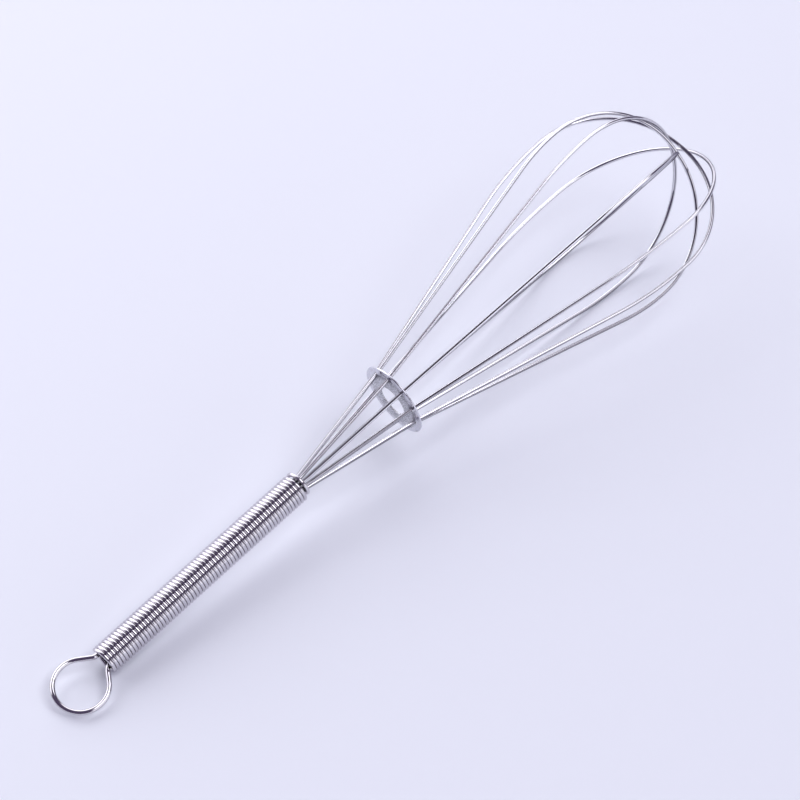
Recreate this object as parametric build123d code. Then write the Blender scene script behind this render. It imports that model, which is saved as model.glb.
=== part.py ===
from build123d import *
from math import acos, atan2, cos, degrees, radians, sin, sqrt, tan
import os

# A small balloon whisk of polished steel wire: five looped wires, a perforated spacer ring, a close wound
# wire handle and a wire hanging loop. It lies as it does on a table, on two strands and the handle's rear rim.
# While it is drawn, the whisk's axis is X, with zero at the front end of the handle and the balloon at +X.
# Angles about the axis go from +Y towards +Z.

# Wires, drawn with flat sides
whisk_wire = 1.1
whisk_wire_sides = 6
loop_wire = 1.5
loop_wire_sides = 6
grip_wire = 1.1
grip_wire_sides = 4

# Handle, wound from one wire, with its turns drawn a little apart
grip_length = 74.0
grip_diameter = 8.9
turn_gap = 0.415
closing_turns = 1
rear_end_angle = 100.0

# Bundle of strands inside the handle, which ends ahead of the hanging loop's legs
strand_end_gap = 4.0
held_clearance = 0.2
neck_circle = 3.7
neck_run = 8.0
neck_bend = 20.0

# Spacer ring
ring_distance = 37.7
ring_diameter = 22.7
ring_bore = 9.6
ring_thickness = 0.55
ring_bevel = 0.2
ring_hole_circle = 17.9
ring_hole_clearance = 0.2
ring_bend = 23.0

# Balloon, with its loops of wire from the innermost to the outermost and their crowns measured from the shoulder
shoulder_distance = 115.2
crown_bend = 28.3
straight_left = 0.2
first_strand_angle = 46.3
belly_diameters = (58.6, 57.0, 60.4, 58.5, 57.5)
crown_distances = (35.7, 38.5, 40.0, 41.7, 43.7)
hoop_places = (0, 1, 2, 4, 3)
hoop_twists = (0.6, -6.1, -1.3, -2.5, -3.7)
hoop_leans = (3.9, 0.4, 1.1, 0.0, 1.9)

# Hanging loop
loop_radius = 7.6
loop_setback = 8.8
loop_offset = 0.9
loop_turn = 9.5
loop_leg_length = 20.0
loop_leg_bend = 2.5
loop_leg_bend_setback = 0.9

# How finely a path is measured
points_per_turn = 24
points_per_hoop = 240

# Worked out from the sizes above
turns = int((grip_length-grip_wire)/(grip_wire+turn_gap))
even_turns = turns-closing_turns
grip_pitch = (grip_length-grip_wire)/turns
grip_radius = (grip_diameter-grip_wire)/2
grip_bore = grip_diameter-2*grip_wire
held_length = grip_length-loop_leg_length-strand_end_gap
held_radius = (grip_bore-whisk_wire)/2-held_clearance
strand_count = 2*len(belly_diameters)
strand_spacing = 360/strand_count


def direction(angle):
    """The unit vector square to the axis at an angle from +Y towards +Z."""
    return Vector(0, cos(radians(angle)), sin(radians(angle)))


def around(x, radius, angle):
    """The point at a distance along the axis and a radius and angle about it."""
    return Vector(x, 0, 0)+direction(angle)*radius


def biarc(start, start_way, end, end_way):
    """Two arcs from start to end, along the given directions there, that meet in one direction between."""
    chord = end-start
    ways = start_way+end_way
    along = chord.dot(ways)
    across = chord.dot(chord)
    reach = across/(along+sqrt(along**2+(4-ways.dot(ways))*across))
    first_corner = start+start_way*reach
    last_corner = end-end_way*reach
    middle = (first_corner+last_corner)/2
    return [
        Edge.make_tangent_arc(start, start_way, middle),
        Edge.make_tangent_arc(middle, (last_corner-first_corner).normalized(), end),
    ]


def tube(path, diameter, sides):
    """A flat sided wire of the given diameter along a path."""
    section = Plane(origin=path@0, z_dir=path%0)*RegularPolygon(diameter/2, sides)
    return sweep(section, path=path)


def neck_radius():
    """How near to the axis a strand's centre line passes at the handle's front end."""
    outward = atan2(ring_hole_circle/2-neck_circle/2, ring_distance)
    inward = atan2(held_radius-neck_circle/2, neck_run)
    return neck_circle/2+neck_bend*(1/cos((outward+inward)/2)-1)


def grip_point(turn):
    """The wire's centre after a number of turns. The last turns close in round the strands."""
    closed_radius = neck_radius()+whisk_wire/2+held_clearance+grip_wire/2
    closing = max(0, turn-even_turns)/closing_turns
    radius = grip_radius-(grip_radius-closed_radius)*closing**2*(3-2*closing)
    x = -grip_length+grip_wire/2+grip_pitch*turn
    return around(x, radius, rear_end_angle+360*turn)


def grip_way(turn):
    """The wire's direction after a number of turns."""
    step = 1/points_per_turn**2
    before = max(0, turn-step)
    after = min(turns, turn+step)
    return (grip_point(after)-grip_point(before)).normalized()


def grip_path():
    """The handle's wire: half turn biarcs, quarter turns where it closes in, and straight ends."""
    knots = [k/2 for k in range(2*even_turns)]+[even_turns+k/4 for k in range(4*closing_turns+1)]
    points = [grip_point(k) for k in knots]
    ways = [grip_way(k) for k in knots]
    edges = [Edge.make_line(points[0]-ways[0]*grip_wire, points[0])]
    for k in range(len(knots)-1):
        edges += biarc(points[k], ways[k], points[k+1], ways[k+1])
    edges.append(Edge.make_line(points[-1], points[-1]+ways[-1]*grip_wire))
    return Wire(edges)


def least_turn_gap():
    """The least gap between one turn of the handle's wire and the next, measured on points."""
    points = [grip_point(k/points_per_turn) for k in range(turns*points_per_turn+1)]
    nearest = grip_length
    for k in range(len(points)-points_per_turn//2):
        for later in points[k+points_per_turn//2:k+3*points_per_turn//2]:
            nearest = min(nearest, (later-points[k]).length)
    return nearest-grip_wire


def hoop_path(number):
    """One looped wire: held end, neck, ring hole, shoulder and crown, and back down the other side."""
    angle = first_strand_angle+strand_spacing*hoop_places[number]
    outward = direction(angle+hoop_twists[number])
    sideways = direction(angle+hoop_twists[number]+90)
    lean = tan(radians(hoop_leans[number]))
    belly = belly_diameters[number]/2
    crown = shoulder_distance+crown_distances[number]
    bend = min(crown_bend, belly-straight_left)

    def balloon_point(x, radius):
        return Vector(x, 0, 0)+outward*radius+sideways*(lean*(x-ring_distance))

    def side_points(side):
        return [
            around(-held_length, side*held_radius, angle),
            around(-neck_run, side*held_radius, angle),
            around(0, side*neck_circle/2, angle),
            around(ring_distance, side*ring_hole_circle/2, angle),
            balloon_point(shoulder_distance, side*belly),
            balloon_point(crown, side*belly),
        ]

    up, down = side_points(1), side_points(-1)
    bends = []
    for side in (up, down):
        room = (side[-1]-side[-2]).length-bend-straight_left
        turn = (side[-2]-side[-3]).get_angle(side[-1]-side[-2])
        bends.append([neck_bend, neck_bend, ring_bend, room/tan(radians(turn)/2), bend])
    return FilletPolyline(*up, *reversed(down), radius=bends[0]+bends[1][::-1])


def make_spacer_ring():
    """A flat washer with a bevelled rim and a hole for each strand."""
    plane = Plane(origin=(ring_distance, 0, 0), x_dir=(0, 1, 0), z_dir=(1, 0, 0))
    hole = Circle(whisk_wire/2+ring_hole_clearance)
    holes = PolarLocations(ring_hole_circle/2, strand_count, start_angle=first_strand_angle)*hole
    plate = plane*(Circle(ring_diameter/2)-Circle(ring_bore/2)-holes)
    ring = extrude(plate, amount=ring_thickness/2, both=True)
    rims = ring.edges().filter_by(GeomType.CIRCLE).sort_by(lambda edge: edge.radius)[-2:]
    return chamfer(rims, ring_bevel)


def make_hanging_loop():
    """An omega of thicker wire, both legs held inside the rear of the handle."""
    sideways = direction(loop_turn)
    leg_place = (grip_bore-loop_wire)/2-held_clearance
    corner_x = -grip_length-loop_leg_bend_setback
    centre_x = -grip_length-loop_setback

    def flat_point(x, across):
        return Vector(x, 0, 0)+sideways*across

    legs, touches = [], []
    for side in (1, -1):
        to_corner = Vector(corner_x-centre_x, side*leg_place+loop_offset)
        turn = atan2(to_corner.Y, to_corner.X)+side*acos(loop_radius/to_corner.length)
        touch = flat_point(centre_x+loop_radius*cos(turn), loop_radius*sin(turn)-loop_offset)
        end = flat_point(-grip_length+loop_leg_length, side*leg_place)
        corner = flat_point(corner_x, side*leg_place)
        legs.append(FilletPolyline(end, corner, touch, radius=[loop_leg_bend]))
        touches.append(touch)
    far = flat_point(centre_x-loop_radius, -loop_offset)
    bow = Edge.make_three_point_arc(touches[0], far, touches[1])
    path = Wire(legs[0].edges()+[bow]+legs[1].edges())
    return tube(path, loop_wire, loop_wire_sides)


def lying_tilt(paths):
    """How far the axis rises towards the balloon when strands and the handle's rear rim touch the table."""
    steepest = 0
    for path in paths:
        for k in range(points_per_hoop+1):
            place = path.position_at(k/points_per_hoop)
            drop = whisk_wire/2-place.Z-grip_diameter/2
            steepest = max(steepest, atan2(drop, place.X+grip_length))
    return degrees(steepest)


hoop_paths = [hoop_path(k) for k in range(len(belly_diameters))]
pieces = {
    "handle_coil": tube(grip_path(), grip_wire, grip_wire_sides),
    "hanging_loop": make_hanging_loop(),
    "spacer_ring": make_spacer_ring(),
}
for number, path in enumerate(hoop_paths):
    pieces[f"hoop_{number+1}"] = tube(path, whisk_wire, whisk_wire_sides)

# Laid down as on a table, with the origin under the middle of the whole
tilt = lying_tilt(hoop_paths)
laid = {name: Rot(0, -tilt, 0)*piece for name, piece in pieces.items()}
box = Compound(list(laid.values())).bounding_box()
middle = Pos(-box.center().X, -box.center().Y, -box.min.Z)

os.makedirs("parts", exist_ok=True)
for name, piece in laid.items():
    export_step(middle*piece, f"parts/{name}.step")

print("least gap between turns", round(least_turn_gap(), 3))
print("tilt", round(tilt, 3), "size", box.size, "shift", middle.position)
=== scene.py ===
import bmesh
import bpy
import numpy as np
from mathutils import Matrix


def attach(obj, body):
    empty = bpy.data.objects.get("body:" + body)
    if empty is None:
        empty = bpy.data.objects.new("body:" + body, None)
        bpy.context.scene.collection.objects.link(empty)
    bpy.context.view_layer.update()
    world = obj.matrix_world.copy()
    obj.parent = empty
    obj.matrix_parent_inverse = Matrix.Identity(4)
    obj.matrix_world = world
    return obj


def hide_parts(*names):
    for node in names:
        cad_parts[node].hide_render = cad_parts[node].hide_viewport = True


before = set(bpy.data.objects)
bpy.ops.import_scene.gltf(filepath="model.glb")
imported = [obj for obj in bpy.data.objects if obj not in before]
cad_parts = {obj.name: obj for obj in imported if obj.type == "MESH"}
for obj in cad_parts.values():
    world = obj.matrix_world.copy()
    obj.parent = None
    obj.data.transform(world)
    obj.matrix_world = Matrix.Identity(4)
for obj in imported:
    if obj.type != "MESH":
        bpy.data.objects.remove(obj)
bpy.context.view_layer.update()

# The balloon: five wires of polished stainless steel, 1.1 mm thick, each bent to one loop. Both ends of a wire pass
# through the spacer ring and are held in the handle. At the crown the loops cross, the third one innermost.

wire_thickness, wire_sides, path_step = 0.0011, 16, 0.0006
first_strand_angle = 46.3
strand_spacing = 36.0
held_length, held_radius = 0.050, 0.0026
neck_run, neck_radius, neck_bend = 0.008, 0.00185, 0.020
ring_distance, hole_circle_radius, ring_bend = 0.0377, 0.00895, 0.023
shoulder_distance, crown_bend, straight_left = 0.1152, 0.0283, 0.0002
loops = (
    # place, twist, lean, belly diameter, distance of the crown
    (0, 0.6, 3.9, 0.0586, 0.1509),
    (1, -6.1, 0.4, 0.0570, 0.1537),
    (2, -1.3, 1.1, 0.0598, 0.1505),
    (4, -2.5, 0.0, 0.0585, 0.1569),
    (3, -3.7, 1.9, 0.0575, 0.1589),
)
end_bevel_share = 0.08
lying_tilt = np.radians(6.945)
lying_shift = np.array([-0.0341454, 0.0000102, 0.0133106])


def lie_down(points):
    """Points drawn about the whisk's own axis, X, laid on the table.

    They turn about Y by the tilt, so that the axis rises towards the balloon, and are then shifted as one.
    """
    c, s = np.cos(lying_tilt), np.sin(lying_tilt)
    return points @ np.array([[c, 0, s], [0, 1, 0], [-s, 0, c]]) + lying_shift


def about_axis(x, radius, degrees):
    """Points at distances along X, with a radius and an angle from +Y towards +Z about it."""
    angle = np.radians(degrees)
    return np.stack(np.broadcast_arrays(x, radius * np.cos(angle), radius * np.sin(angle)), axis=-1)


def rounded_path(corners, radii, step):
    """Evenly spaced points on straight runs that are joined by tangent arcs.

    An arc of radius r leaves its run r times the tangent of half the turn before the corner. After an angle a it is
    at: start + r sin(a) along the run + r (1 - cos(a)) square to the run, towards the inside of the bend.
    """
    corners = np.asarray(corners, float)
    ways = np.diff(corners, axis=0)
    ways /= np.linalg.norm(ways, axis=1)[:, None]
    parts = [corners[:1]]
    for corner, come, go, radius in zip(corners[1:-1], ways[:-1], ways[1:], radii):
        turn = np.arccos(np.clip(come @ go, -1, 1))
        inward = go - (come @ go) * come
        inward /= np.linalg.norm(inward)
        angle = np.linspace(0, turn, int(radius * turn / step) + 4)[:, None]
        start = corner - radius * np.tan(turn / 2) * come
        parts.append(start + radius * (np.sin(angle) * come + (1 - np.cos(angle)) * inward))
    parts.append(corners[-1:])
    path = np.concatenate(parts)
    gone = np.r_[0, np.cumsum(np.linalg.norm(np.diff(path, axis=0), axis=1))]
    even = np.linspace(0, gone[-1], int(gone[-1] / step) + 1)
    return np.stack([np.interp(even, gone, path[:, k]) for k in range(3)], axis=1)


def loop_path(place, twist, lean, belly, crown):
    """One loop: held end, neck, ring hole, shoulder, crown, and the same back down the other side.

    The balloon part lies in a plane that is twisted about the axis and leans sideways with its distance.
    """
    angle = first_strand_angle + strand_spacing * place
    bend = min(crown_bend, belly / 2 - straight_left)

    def balloon_point(x, radius):
        sideways = np.tan(np.radians(lean)) * (x - ring_distance)
        return about_axis(x, radius, angle + twist) + about_axis(0, sideways, angle + twist + 90)

    sides, bends = [], []
    for side in (1, -1):
        points = np.array([
            about_axis(-held_length, side * held_radius, angle),
            about_axis(-neck_run, side * held_radius, angle),
            about_axis(0, side * neck_radius, angle),
            about_axis(ring_distance, side * hole_circle_radius, angle),
            balloon_point(shoulder_distance, side * belly / 2),
            balloon_point(crown, side * belly / 2),
        ])
        last, before = points[-1] - points[-2], points[-2] - points[-3]
        turn = np.arccos(last @ before / np.linalg.norm(last) / np.linalg.norm(before))
        room = np.linalg.norm(last) - bend - straight_left
        sides.append(points)
        bends.append([neck_bend, neck_bend, ring_bend, room / np.tan(turn / 2), bend])
    path = rounded_path(np.r_[sides[0], sides[1][::-1]], bends[0] + bends[1][::-1], path_step)
    return path, about_axis(0, 1, angle + twist + 90)


def new_mesh(name, points, faces):
    """A mesh object at the origin from arrays of points and of faces, shaded smooth."""
    mesh = bpy.data.meshes.new(name)
    mesh.from_pydata(points.tolist(), [], [face.tolist() for part in faces for face in part])
    mesh.polygons.foreach_set("use_smooth", np.ones(len(mesh.polygons), bool))
    mesh.update()
    made = bpy.data.objects.new(name, mesh)
    bpy.context.scene.collection.objects.link(made)
    return made


def round_wire(name, path, across, thickness, sides):
    """A round wire along a path.

    At each point of the path, b is the across direction made square to the path, and n is square to both. The
    surface is path + r (cos(a) n + sin(a) b) for the angle a. At both ends r shrinks in a small bevel and the end is
    closed with a flat fan. The wire_place attribute holds the length so far and cos(a) and sin(a).
    """
    bevel = thickness * end_bevel_share
    way = np.gradient(path, axis=0)
    way /= np.linalg.norm(way, axis=1)[:, None]
    path = np.r_[path[:1], path[:1] + bevel * way[:1], path[1:-1], path[-1:] - bevel * way[-1:], path[-1:]]
    way = np.r_[way[:1], way[:1], way[1:-1], way[-1:], way[-1:]]
    radius = np.full(len(path), thickness / 2)
    radius[[0, -1]] -= bevel
    across = np.broadcast_to(across, path.shape)
    b = across - np.sum(across * way, axis=1)[:, None] * way
    b /= np.linalg.norm(b, axis=1)[:, None]
    n = np.cross(b, way)
    a = np.linspace(0, 2 * np.pi, sides, endpoint=False)
    round_about = np.cos(a)[None, :, None] * n[:, None] + np.sin(a)[None, :, None] * b[:, None]
    skin = path[:, None] + radius[:, None, None] * round_about
    points = np.r_[skin.reshape(-1, 3), path[:1], path[-1:]]
    ring, k = np.arange(len(path) - 1)[:, None] * sides, np.arange(sides)[None]
    later = (k + 1) % sides
    quads = np.stack([ring + k, ring + later, ring + sides + later, ring + sides + k], axis=-1).reshape(-1, 4)
    first, last = len(points) - 2, len(points) - 1
    end = (len(path) - 1) * sides
    k, later = k[0], later[0]
    caps = np.r_[
        np.stack([np.full(sides, first), later, k], axis=1),
        np.stack([np.full(sides, last), end + k, end + later], axis=1),
    ]
    made = new_mesh(name, points, [quads, caps])
    gone = np.r_[0, np.cumsum(np.linalg.norm(np.diff(path, axis=0), axis=1))]
    place = np.stack(np.broadcast_arrays(gone[:, None], np.cos(a)[None], np.sin(a)[None]), axis=-1).reshape(-1, 3)
    place = np.r_[place, [[gone[0], 0, 0], [gone[-1], 0, 0]]]
    made.data.attributes.new("wire_place", "FLOAT_VECTOR", "POINT").data.foreach_set("vector", place.ravel())
    return made


def group_with(name, inputs, outputs):
    """An empty node group with named inputs, each with its value, and named outputs."""
    made = bpy.data.node_groups.new(name, "ShaderNodeTree")
    for label, value in inputs.items():
        socket = made.interface.new_socket(label, in_out="INPUT", socket_type="NodeSocketFloat")
        socket.default_value = value
    for label in outputs:
        made.interface.new_socket(label, in_out="OUTPUT", socket_type="NodeSocketFloat")
    return made, made.nodes.new("NodeGroupInput"), made.nodes.new("NodeGroupOutput")


def node_in(tree, kind, values=None, **settings):
    """A node with its settings and, by socket name or number, its values or the sockets that feed it."""
    made = tree.nodes.new(kind)
    for label, setting in settings.items():
        setattr(made, label, setting)
    for label, value in (values or {}).items():
        if isinstance(value, bpy.types.NodeSocket):
            tree.links.new(value, made.inputs[label])
        else:
            made.inputs[label].default_value = value
    return made


# Drawn lines: a wire is pulled through a die, which leaves fine lines along it that wander slowly round it. Lines
# gives their height, and Tint is 1 on light streaks and 0 on dark ones. The colour streaks that Tint drives are
# painted
# reflection lines: dark and light bands along the wire that stand in for the dark room and the bright panels.
drawn_lines_and_painted_streaks, lines_in, lines_out = group_with(
    "drawn lines", {"Lines round": 14.0, "Line length": 0.02}, ["Lines", "Tint"])
place = node_in(drawn_lines_and_painted_streaks, "ShaderNodeAttribute", attribute_name="wire_place")
parts = node_in(drawn_lines_and_painted_streaks, "ShaderNodeSeparateXYZ", {"Vector": place.outputs["Vector"]})
along = node_in(drawn_lines_and_painted_streaks, "ShaderNodeMath", {0: parts.outputs["X"], 1: lines_in.outputs["Line length"]},
                operation="DIVIDE")
turned = [node_in(drawn_lines_and_painted_streaks, "ShaderNodeMath", {0: parts.outputs[k], 1: lines_in.outputs["Lines round"]},
                  operation="MULTIPLY") for k in ("Y", "Z")]
drawn = node_in(drawn_lines_and_painted_streaks, "ShaderNodeCombineXYZ", {
    "X": along.outputs[0], "Y": turned[0].outputs[0], "Z": turned[1].outputs[0]})
fine = node_in(drawn_lines_and_painted_streaks, "ShaderNodeTexNoise", {"Vector": drawn.outputs[0], "Scale": 1.0, "Detail": 3.0})
coarse = node_in(drawn_lines_and_painted_streaks, "ShaderNodeTexNoise", {"Vector": drawn.outputs[0], "Scale": 0.23, "Detail": 1.0})
drawn_lines_and_painted_streaks.links.new(fine.outputs["Fac"], lines_out.inputs["Lines"])
# Painted reflection streaks: coarse noise round the wire, sharpened into light and dark bands.
painted_streak = node_in(drawn_lines_and_painted_streaks, "ShaderNodeMapRange", {
    "Value": coarse.outputs["Fac"], "From Min": 0.42, "From Max": 0.58}, interpolation_type="SMOOTHSTEP")
drawn_lines_and_painted_streaks.links.new(painted_streak.outputs["Result"], lines_out.inputs["Tint"])

# Handling marks: cloudy patches a few millimetres across where the steel has been touched and wiped.
handling_marks, marks_in, marks_out = group_with(
    "handling marks", {"Patch size": 0.004, "Least": 0.1, "Most": 0.2}, ["Roughness"])
where = node_in(handling_marks, "ShaderNodeTexCoord")
size = node_in(handling_marks, "ShaderNodeMath", {0: 1.0, 1: marks_in.outputs["Patch size"]}, operation="DIVIDE")
cloud = node_in(handling_marks, "ShaderNodeTexNoise", {
    "Vector": where.outputs["Object"], "Scale": size.outputs[0], "Detail": 4.0, "Roughness": 0.6})
spread = node_in(handling_marks, "ShaderNodeMapRange", {
    "Value": cloud.outputs["Fac"], "From Min": 0.35, "From Max": 0.65,
    "To Min": marks_in.outputs["Least"], "To Max": marks_in.outputs["Most"]})
handling_marks.links.new(spread.outputs["Result"], marks_out.inputs["Roughness"])


drawn_line_depth = 0.0000006


def placed_group(tree, group, values):
    """The node group placed in a material with its own values."""
    made = tree.nodes.new("ShaderNodeGroup")
    made.node_tree = group
    for label, value in values.items():
        made.inputs[label].default_value = value
    return made


def wire_steel(name, light, dark, edge, marks, lines):
    """Polished steel wire: its colour goes between two tones along painted reflection streaks, and its gloss with
    the marks.

    The edge tone is what the steel keeps of a reflection that only grazes it.
    """
    material = bpy.data.materials.new(name)
    material.use_nodes = True
    tree = material.node_tree
    shader = tree.nodes["Principled BSDF"]
    shader.inputs["Metallic"].default_value = 1.0
    shader.inputs["Specular Tint"].default_value = (*edge, 1)
    line = placed_group(tree, drawn_lines_and_painted_streaks, lines)
    mark = placed_group(tree, handling_marks, marks)
    # Base colour: the two tones mixed by the streaks, a painted reflection that is light and dark along the wire.
    tone = node_in(tree, "ShaderNodeMix", {
        "Factor": line.outputs["Tint"], 6: (*dark, 1), 7: (*light, 1)}, data_type="RGBA")
    bump = node_in(tree, "ShaderNodeBump", {
        "Strength": 1.0, "Distance": drawn_line_depth, "Height": line.outputs["Lines"]})
    tree.links.new(tone.outputs[2], shader.inputs["Base Color"])
    tree.links.new(mark.outputs["Roughness"], shader.inputs["Roughness"])
    tree.links.new(bump.outputs["Normal"], shader.inputs["Normal"])
    return material


# The balloon wires' two tones lie far apart, so their streaks paint strong dark and light reflection lines along
# each wire.
whisk_steel = wire_steel(
    "whisk_wire_steel", (0.92, 0.91, 0.94), (0.27, 0.26, 0.29), (0.18, 0.17, 0.21),
    {"Patch size": 0.004, "Least": 0.03, "Most": 0.08},
    {"Lines round": 9.0, "Line length": 0.050})
for number, sizes in enumerate(loops, start=1):
    path, across = loop_path(*sizes)
    loop = round_wire(f"balloon_wire_{number}", lie_down(path), lie_down(across) - lying_shift, wire_thickness,
                      wire_sides)
    loop.data.materials.append(whisk_steel)
    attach(loop, "root")
    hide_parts(f"hoop_{number}")

# The handle: one 1.1 mm wire of polished stainless steel, wound close about the held ends of the balloon's wires.
# It starts with a cut end at the rear, and its last turn at the front closes in round the wires.

handle_length, handle_diameter = 0.074, 0.0089
handle_turns, handle_angle = 64, 100.0
handle_sides, points_per_turn = 12, 40
rear_end_turn, loosening_turn, closing_turn, front_end_turn = -0.17, 63.2, 63.8, 64.35
handle_wire = handle_length / (handle_turns + 1)
closed_radius, loosened_by, loosening_run = 0.0031, 0.6, 0.7


def handle_path():
    """The wire's centre line: after n turns it is at the rear end + pitch n, at the handle's angle + 360 n.

    Near the front it first runs ahead by some pitches and then closes in to the bundle. Both go along a smooth step,
    3 c^2 - 2 c^3, of the share c of that stretch.
    """
    turn = np.linspace(rear_end_turn, front_end_turn, handle_turns * points_per_turn + 1)
    ahead = np.clip((turn - loosening_turn) / loosening_run, 0, 1)
    closing = np.clip((turn - closing_turn) / (front_end_turn - closing_turn), 0, 1)
    open_radius = (handle_diameter - handle_wire) / 2
    radius = open_radius - (open_radius - closed_radius) * closing ** 2 * (3 - 2 * closing)
    turn_place = turn + loosened_by * ahead ** 2 * (3 - 2 * ahead)
    x = -handle_length + handle_wire / 2 + (handle_length - handle_wire) / handle_turns * turn_place
    return about_axis(x, radius, handle_angle + 360 * turn)


handle_steel = wire_steel(
    "handle_wire_steel", (0.74, 0.72, 0.74), (0.64, 0.62, 0.65), (0.78, 0.76, 0.80),
    {"Patch size": 0.003, "Least": 0.03, "Most": 0.08},
    {"Lines round": 9.0, "Line length": 0.010})
handle = round_wire("handle_coil_wire", lie_down(handle_path()), lie_down(np.array([1.0, 0, 0])) - lying_shift,
                    handle_wire, handle_sides)
handle.data.materials.append(handle_steel)
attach(handle, "root")
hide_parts("handle_coil")

# The hanging loop: a 1.5 mm wire of polished stainless steel, bent to a round eye. Its two legs are held inside the
# rear end of the handle, against the turns.

eye_wire, eye_radius, eye_setback, eye_offset, eye_turn = 0.0015, 0.0076, 0.0088, 0.0009, 9.5
eye_sides, eye_points, eye_step = 24, 160, 0.0003
leg_length, leg_bend = 0.020, 0.0022
legs = (
    # side, distance from the axis, how far behind the handle's end it bends
    (1, 0.0025, 0.0006),
    (-1, 0.0019, 0.0001),
)


def eye_path():
    """Leg, small bend, tangent run, the eye's arc, and the same back, in one plane turned about the axis.

    The tangent run from a leg's corner at distance d touches the eye where the angle is the corner's own angle, more
    or less the arc cosine of eye radius / d.
    """
    middle = -handle_length - eye_setback
    ends, touches = [], []
    for side, leg_place, setback in legs:
        corner = -handle_length - setback
        reach = np.array([corner - middle, side * leg_place + eye_offset])
        touch = np.arctan2(reach[1], reach[0]) + side * np.arccos(eye_radius / np.linalg.norm(reach))
        touches.append(touch % (2 * np.pi))
        touch_point = [middle + eye_radius * np.cos(touch), eye_radius * np.sin(touch) - eye_offset]
        flat = [[-handle_length + leg_length, side * leg_place], [corner, side * leg_place], touch_point]
        flat = np.c_[flat, np.zeros(3)]
        ends.append(rounded_path(flat, [leg_bend], eye_step)[:, :2])
    angle = np.linspace(touches[0], touches[1], eye_points)[1:-1]
    arc = np.c_[middle + eye_radius * np.cos(angle), eye_radius * np.sin(angle) - eye_offset]
    flat = np.r_[ends[0], arc, ends[1][::-1]]
    return about_axis(flat[:, 0], flat[:, 1], eye_turn)


eye_steel = wire_steel(
    "loop_wire_steel", (0.74, 0.72, 0.74), (0.66, 0.64, 0.67), (0.45, 0.44, 0.48),
    {"Patch size": 0.004, "Least": 0.04, "Most": 0.09},
    {"Lines round": 11.0, "Line length": 0.014})
eye = round_wire("hanging_eye_wire", lie_down(eye_path()), lie_down(about_axis(0, 1, eye_turn + 90)) - lying_shift,
                 eye_wire, eye_sides)
eye.data.materials.append(eye_steel)
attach(eye, "root")
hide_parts("hanging_loop")

# The spacer ring: a washer punched and pressed from thin stainless steel, with ten holes for the strands. Its middle
# is pressed to a shallow dish towards the handle and is matt; its brim stays bright. It sits a little askew.

ring_diameter, ring_bore, ring_thickness, ring_edge = 0.0227, 0.0096, 0.00055, 0.0002
hole_radius, hole_edge = 0.00075, 0.00006
dish_depth, dish_inner, dish_outer = 0.0005, 0.0084, 0.0101
ring_skew = 3.2
brim_begins, brim_is_bright = 0.0090, 0.0098
weld_distance = 0.000002
hole_count, inner_steps, side_steps, outer_steps, line_steps, rim_steps = 10, 6, 8, 10, 10, 8


def pressed(x, y, z):
    """Points of the flat washer, pressed and set askew.

    With s from 0 to 1 between the dish's inner and outer radius, x falls by the depth times 1 - 3 s^2 + 2 s^3. Then
    the washer turns by the skew about its own upright line, so that y moves x by y sin(skew).
    """
    x, y, z = np.broadcast_arrays(x, y, z)
    s = np.clip((np.hypot(y, z) - dish_inner) / (dish_outer - dish_inner), 0, 1)
    x = x - dish_depth * (1 - s ** 2 * (3 - 2 * s))
    c, sine = np.cos(np.radians(ring_skew)), np.sin(np.radians(ring_skew))
    return np.stack([ring_distance + x * c + y * sine, y * c - x * sine, z], axis=-1)


def round_the_holes():
    """Each tenth of the washer, as lines from its hole's edge out to its border.

    At a point q of the border of a tenth, the line starts at h + e, where h is the hole's middle and e the hole's
    radius towards q, and after a share v it is at (h + e) (1 - v) + q v. The result is v by border points.
    """
    half = np.radians(strand_spacing / 2)
    low, high = ring_bore / 2 + ring_edge, ring_diameter / 2 - ring_edge
    run = np.linspace(low, high, side_steps + 1)
    radius = np.r_[np.full(inner_steps, low), run[:-1], np.full(outer_steps, high), run[:0:-1]]
    angle = np.r_[np.linspace(-half, half, inner_steps + 1)[:-1], np.full(side_steps, half),
                  np.linspace(half, -half, outer_steps + 1)[:-1], np.full(side_steps, -half)]
    border = radius * np.exp(1j * angle)
    way = (border - hole_circle_radius) / np.abs(border - hole_circle_radius)
    v = np.linspace(0, 1, line_steps + 1)[:, None]
    lines = (hole_circle_radius + (hole_radius + hole_edge) * way) * (1 - v) + border * v
    wall = hole_circle_radius + np.array([hole_edge, 0, 0, hole_edge])[:, None] * way + hole_radius * way
    return lines, wall


# Ten flat tenths on either side, the walls of the holes with their small bevels, and the two rounded rims, welded.
lines, wall = round_the_holes()
sectors = np.exp(1j * np.radians(first_strand_angle + strand_spacing * np.arange(hole_count)))[:, None, None]
half_thick = ring_thickness / 2
wall_x = half_thick * np.array([-1, -1, 1, 1.0]) + hole_edge * np.array([0, 1, -1, 0])
nose = np.radians(np.linspace(-90, 90, rim_steps + 1))
grids = []
for flat, x in ((lines, -half_thick), (lines, half_thick), (wall, wall_x[:, None])):
    turned_flat = flat[None] * sectors
    grids += list(pressed(x, turned_flat.real, turned_flat.imag))
for edge, out, steps in (
    (ring_diameter / 2 - ring_edge, 1, outer_steps),
    (ring_bore / 2 + ring_edge, -1, inner_steps),
):
    angle = first_strand_angle - strand_spacing / 2 + strand_spacing / steps * np.arange(hole_count * steps)
    angle = np.radians(angle)
    rim = (edge + out * ring_edge * np.cos(nose))[:, None] * np.exp(1j * angle)
    grids.append(pressed(half_thick * np.sin(nose)[:, None], rim.real, rim.imag))
points, faces, start = [], [], 0
for grid in grids:
    rows, columns = grid.shape[:2]
    row, k = np.arange(rows - 1)[:, None] * columns + start, np.arange(columns)[None]
    later = (k + 1) % columns
    faces.append(np.stack([row + k, row + later, row + columns + later, row + columns + k], axis=-1).reshape(-1, 4))
    points.append(grid.reshape(-1, 3))
    start += rows * columns
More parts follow.
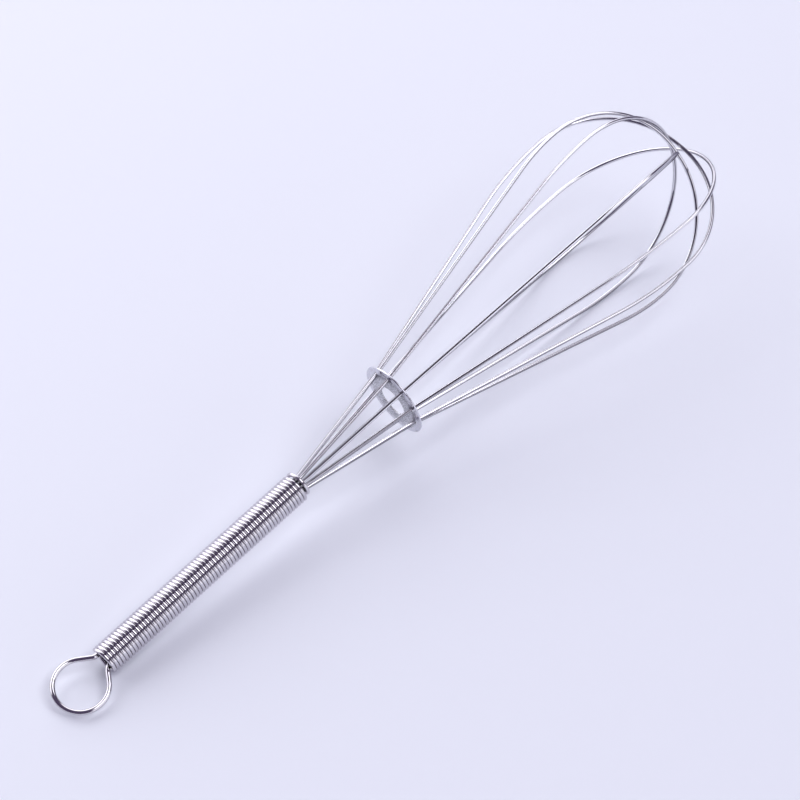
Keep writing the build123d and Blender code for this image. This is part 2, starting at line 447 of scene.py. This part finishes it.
points = np.concatenate(points)
ring = new_mesh("spacer_ring_plate", lie_down(points), faces)
ring_radius = np.hypot(points[:, 1], points[:, 2])
ring.data.attributes.new("ring_radius", "FLOAT", "POINT").data.foreach_set("value", ring_radius)
shell = bmesh.new()
shell.from_mesh(ring.data)
bmesh.ops.remove_doubles(shell, verts=shell.verts, dist=weld_distance)
bmesh.ops.recalc_face_normals(shell, faces=shell.faces)
shell.to_mesh(ring.data)
shell.free()

# Its steel: specks of light and dark on the matt middle, and one tone with more gloss on the brim.
ring_steel = bpy.data.materials.new("ring_plate_steel")
ring_steel.use_nodes = True
tree = ring_steel.node_tree
shader = tree.nodes["Principled BSDF"]
shader.inputs["Metallic"].default_value = 1.0
from_axis = node_in(tree, "ShaderNodeAttribute", attribute_name="ring_radius")
brim = node_in(tree, "ShaderNodeMapRange", {
    "Value": from_axis.outputs["Fac"], "From Min": brim_begins, "From Max": brim_is_bright},
    interpolation_type="SMOOTHSTEP")
where = node_in(tree, "ShaderNodeTexCoord")
grain = node_in(tree, "ShaderNodeTexNoise", {
    "Vector": where.outputs["Object"], "Scale": 2600.0, "Detail": 2.0, "Roughness": 0.7})
speck = node_in(tree, "ShaderNodeMapRange", {"Value": grain.outputs["Fac"], "From Min": 0.40, "From Max": 0.60})
matt = node_in(tree, "ShaderNodeMix", {
    "Factor": speck.outputs["Result"], 6: (0.32, 0.32, 0.34, 1), 7: (0.84, 0.84, 0.88, 1)}, data_type="RGBA")
tone = node_in(tree, "ShaderNodeMix", {
    "Factor": brim.outputs["Result"], 6: matt.outputs[2], 7: (0.70, 0.695, 0.745, 1)}, data_type="RGBA")
mark = placed_group(tree, handling_marks, {"Patch size": 0.002, "Least": 0.30, "Most": 0.42})
gloss = node_in(tree, "ShaderNodeMath", {
    0: brim.outputs["Result"], 1: -0.10, 2: mark.outputs["Roughness"]}, operation="MULTIPLY_ADD")
bump = node_in(tree, "ShaderNodeBump", {"Strength": 0.5, "Distance": 0.00001, "Height": grain.outputs["Fac"]})
tree.links.new(tone.outputs[2], shader.inputs["Base Color"])
tree.links.new(gloss.outputs[0], shader.inputs["Roughness"])
tree.links.new(bump.outputs["Normal"], shader.inputs["Normal"])
ring.data.materials.append(ring_steel)
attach(ring, "root")
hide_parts("spacer_ring")

# The table: a plain pale sheet, larger than the view, that takes the whisk's soft shadow. Its top lies a hair below
# the lowest strands and the rear rim of the handle, which rest on it.

table_reach, table_top = 6, -0.00006
table_mesh = bpy.data.meshes.new("table_sheet")
table_corners = [(side * table_reach, end * table_reach, table_top)
                 for side, end in ((-1, -1), (1, -1), (1, 1), (-1, 1))]
table_mesh.from_pydata(table_corners, [], [(0, 1, 2, 3)])
table = bpy.data.objects.new("table_sheet", table_mesh)
bpy.context.scene.collection.objects.link(table)
table_paint = bpy.data.materials.new("pale_sheet")
table_paint.use_nodes = True
shader = table_paint.node_tree.nodes["Principled BSDF"]
shader.inputs["Base Color"].default_value = (0.865, 0.882, 0.955, 1)
shader.inputs["Roughness"].default_value = 0.6
table.data.materials.append(table_paint)

# The studio: one large soft lamp beyond the whisk, in a dark room with a bright side on the left, a lesser one on
# the right and a bright panel in the ceiling. The steel mirrors these.

scene = bpy.context.scene


def stand_at(made, place, right, up, forward):
    """Stand an object at a place, so that its own X is right, its Y is up and it looks forward along -Z."""
    rows = np.c_[np.stack([right, up, -forward], axis=1), place]
    made.matrix_world = Matrix(rows.tolist() + [[0, 0, 0, 1]])
    scene.collection.objects.link(made)


lamp_place = np.array([0.09, 0.6, 0.45])
lamp = bpy.data.lights.new("far_side_lamp", "AREA")
lamp.shape = "SQUARE"
lamp.size = 0.9
lamp.energy = 1.62
lamp.color = (0.97, 0.97, 1.0)
forward = -lamp_place / np.linalg.norm(lamp_place)
right = np.cross(forward, [0, 0, 1.0])
right /= np.linalg.norm(right)
stand_at(bpy.data.objects.new("far_side_lamp", lamp), lamp_place, right, np.cross(right, forward), forward)

world = bpy.data.worlds.new("studio_room")
scene.world = world
world.use_nodes = True
room = world.node_tree
background = room.nodes["Background"]

# A bright patch of the room: a rectangle with soft edges, in degrees round and up or in units on the ceiling.
room_patch, patch_in, patch_out = group_with(
    "room patch",
    {"Across": 0.0, "Along": 0.0, "Middle across": 0.0, "Middle along": 0.0, "Half width": 1.0, "Half length": 1.0,
     "Soft": 0.1}, ["Cover"])
covers = []
for line, middle, half in (("Across", "Middle across", "Half width"), ("Along", "Middle along", "Half length")):
    off = node_in(room_patch, "ShaderNodeMath", {0: patch_in.outputs[line], 1: patch_in.outputs[middle]},
                  operation="SUBTRACT")
    off = node_in(room_patch, "ShaderNodeMath", {0: off.outputs[0]}, operation="ABSOLUTE")
    off = node_in(room_patch, "ShaderNodeMath", {0: patch_in.outputs[half], 1: off.outputs[0]},
                  operation="SUBTRACT")
    off = node_in(room_patch, "ShaderNodeMath", {0: off.outputs[0], 1: patch_in.outputs["Soft"]},
                  operation="DIVIDE")
    covers.append(node_in(room_patch, "ShaderNodeMapRange", {"Value": off.outputs[0], "From Min": -1.0},
                          interpolation_type="SMOOTHSTEP"))
cover = node_in(room_patch, "ShaderNodeMath", {0: covers[0].outputs[0], 1: covers[1].outputs[0]},
                operation="MULTIPLY")
room_patch.links.new(cover.outputs[0], patch_out.inputs["Cover"])

# Where a direction lies: across and along the ceiling, over its rise, or its bearing and height in degrees. The
# ceiling panel lies a little skew, and the rise stops at a least value towards the horizon.
least_rise, panel_skew = 0.04, -0.28
way = node_in(room, "ShaderNodeTexCoord")
way = node_in(room, "ShaderNodeSeparateXYZ", {"Vector": way.outputs["Generated"]})
rise = node_in(room, "ShaderNodeMath", {0: way.outputs["Z"], 1: least_rise}, operation="MAXIMUM")
across, along = [node_in(room, "ShaderNodeMath", {0: way.outputs[k], 1: rise.outputs[0]}, operation="DIVIDE")
                 for k in ("X", "Y")]
skew = node_in(room, "ShaderNodeMath", {0: along.outputs[0], 1: panel_skew, 2: across.outputs[0]},
               operation="MULTIPLY_ADD")
bearing = node_in(room, "ShaderNodeMath", {0: way.outputs["Y"], 1: way.outputs["X"]}, operation="ARCTAN2")
bearing = node_in(room, "ShaderNodeMath", {0: bearing.outputs[0]}, operation="DEGREES")
height = node_in(room, "ShaderNodeMath", {0: way.outputs["Z"]}, operation="ARCSINE")
height = node_in(room, "ShaderNodeMath", {0: height.outputs[0]}, operation="DEGREES")
light = 0.0
# Side of the room on the left, side on the right, and panel in the ceiling
for over, up, middle_across, middle_along, half_width, half_length, soft, strength in (
    (bearing, height, 77.0, 20.0, 58.0, 32.0, 6.0, 1.62),
    (bearing, height, -75.0, 10.0, 32.0, 20.0, 6.0, 1.35),
    (skew, along, 0.61, -0.445, 0.54, 0.395, 0.06, 3.0),
):
    patch = placed_group(room, room_patch, {
        "Middle across": middle_across, "Middle along": middle_along, "Half width": half_width,
        "Half length": half_length, "Soft": soft})
    room.links.new(over.outputs[0], patch.inputs["Across"])
    room.links.new(up.outputs[0], patch.inputs["Along"])
    light = node_in(room, "ShaderNodeMath", {0: patch.outputs["Cover"], 1: strength, 2: light},
                    operation="MULTIPLY_ADD").outputs[0]
glow = node_in(room, "ShaderNodeMix", {
    "Factor": light, 6: (0.095, 0.075, 0.135, 1), 7: (1.03, 1.02, 1.13, 1)}, data_type="RGBA", clamp_factor=False)
room.links.new(glow.outputs[2], background.inputs["Color"])
background.inputs["Strength"].default_value = 1.0

# The camera: a long lens from behind the handle and above it, as in the photograph. Its place and directions were
# fitted to the photograph together with the whisk's sizes.

lens = bpy.data.cameras.new("photograph_camera")
lens.sensor_width = 36.0
lens.lens = 135.6
lens.clip_start, lens.clip_end = 0.01, 20.0
camera_place = np.array([-0.3659, -0.3680, 0.6832])
right = np.array([0.7037, -0.7104, 0.0])
forward = np.array([0.4381, 0.4338, -0.7873])
right /= np.linalg.norm(right)
forward -= (forward @ right) * right
forward /= np.linalg.norm(forward)
camera = bpy.data.objects.new("photograph_camera", lens)
stand_at(camera, camera_place, right, np.cross(right, forward), forward)
scene.camera = camera
scene.view_settings.view_transform = "Standard"
